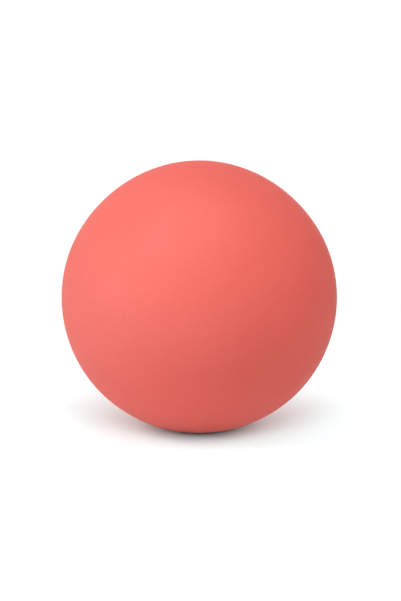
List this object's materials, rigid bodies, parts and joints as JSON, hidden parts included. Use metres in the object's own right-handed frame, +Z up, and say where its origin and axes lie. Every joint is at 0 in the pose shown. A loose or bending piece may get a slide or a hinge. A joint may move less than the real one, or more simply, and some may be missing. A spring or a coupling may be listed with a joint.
{
  "type": "pilates ball",
  "caption": "Soft inflatable exercise ball in plain matt coral, with a flush air valve and a push-in stopper, sagging slightly where it rests on the floor.",
  "frame": {"origin": "middle of the flat patch under the ball, where it rests on the floor", "axes": "+Z up out of the floor, +Y out of the air valve, +X to the right of a viewer on the side away from the valve"},
  "size_m": [0.23, 0.2295, 0.2259],
  "materials": {
    "skin": "matte",
    "valve": "matte",
    "plug": "satin"
  },
  "bodies": {
    "ball": {"ball_skin": "skin", "valve_bush": "valve"},
    "plug": {"valve_plug": "plug"}
  },
  "joints": [
    {"name": "plug_pull", "type": "slide", "parent": "ball", "child": "plug", "axis": [0, 1, 0], "range_m": [0, 0.04]}
  ]
}
